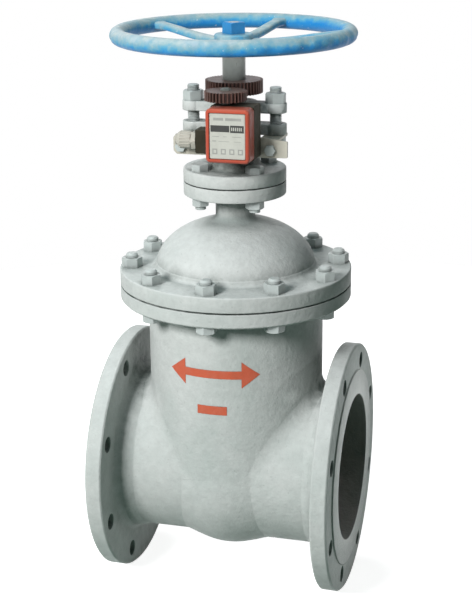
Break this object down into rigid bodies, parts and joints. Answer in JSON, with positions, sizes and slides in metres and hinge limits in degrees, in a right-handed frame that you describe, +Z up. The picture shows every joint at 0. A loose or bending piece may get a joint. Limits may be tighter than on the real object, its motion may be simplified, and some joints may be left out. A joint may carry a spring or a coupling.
{
  "type": "signal gate valve",
  "caption": "Flanged gate valve with a non-rising stem, domed bonnet, handwheel and a gear-driven position signal box.",
  "frame": {"origin": "centre of the raised face of the left pipe flange, on the bore axis", "axes": "+X along the bore to the other flange, +Z up the stem to the handwheel, -Y to the front with the signal box"},
  "size_m": [0.33, 0.34, 0.771],
  "materials": {
    "grey_paint": "satin",
    "blue_paint": "satin",
    "seat_brass": "satin",
    "bare_iron": "matte",
    "gasket": "matte",
    "zinc_steel": "satin",
    "stem_steel": "satin",
    "gear_brown": "satin",
    "bracket_sheet": "satin",
    "housing_dark": "matte",
    "cover_red": "satin",
    "label_white": "satin",
    "gland_beige": "satin"
  },
  "bodies": {
    "valve": {"body": "grey_paint", "bonnet": "grey_paint", "stuffing_box": "grey_paint", "gland": "grey_paint", "seat_rings": "seat_brass", "gate_nut": "seat_brass", "gate": "bare_iron", "bonnet_gasket": "gasket", "throat_gasket": "gasket", "bonnet_bolts": "zinc_steel", "bonnet_nuts": "zinc_steel", "foot_bolts": "zinc_steel", "foot_nuts": "zinc_steel", "gland_studs": "zinc_steel", "gland_nuts": "zinc_steel", "bracket_bolts": "zinc_steel", "bracket_nuts": "zinc_steel", "bracket_clips": "bracket_sheet", "signal_backplate": "bracket_sheet", "signal_housing": "housing_dark", "signal_cover": "cover_red", "label_plate": "label_white", "cable_gland": "gland_beige"},
    "wheel_train": {"stem": "stem_steel", "stem_gear": "gear_brown", "handwheel": "blue_paint", "wheel_nut": "blue_paint"},
    "signal_train": {"signal_shaft": "stem_steel", "signal_gear": "gear_brown"}
  },
  "joints": [
    {"name": "handwheel_turn", "type": "hinge", "parent": "valve", "child": "wheel_train", "pos_m": [0.165, 0, 0.55], "axis": [0, 0, 1], "range_deg": [-12360, 0]},
    {"name": "signal_turn", "type": "hinge", "parent": "valve", "child": "signal_train", "pos_m": [0.171, -0.06131, 0.49], "axis": [0, 0, 1], "range_deg": [0, 17450]}
  ],
  "couplings": [
    {"joint": "signal_turn", "follows": "handwheel_turn", "ratio": -1.4118}
  ]
}
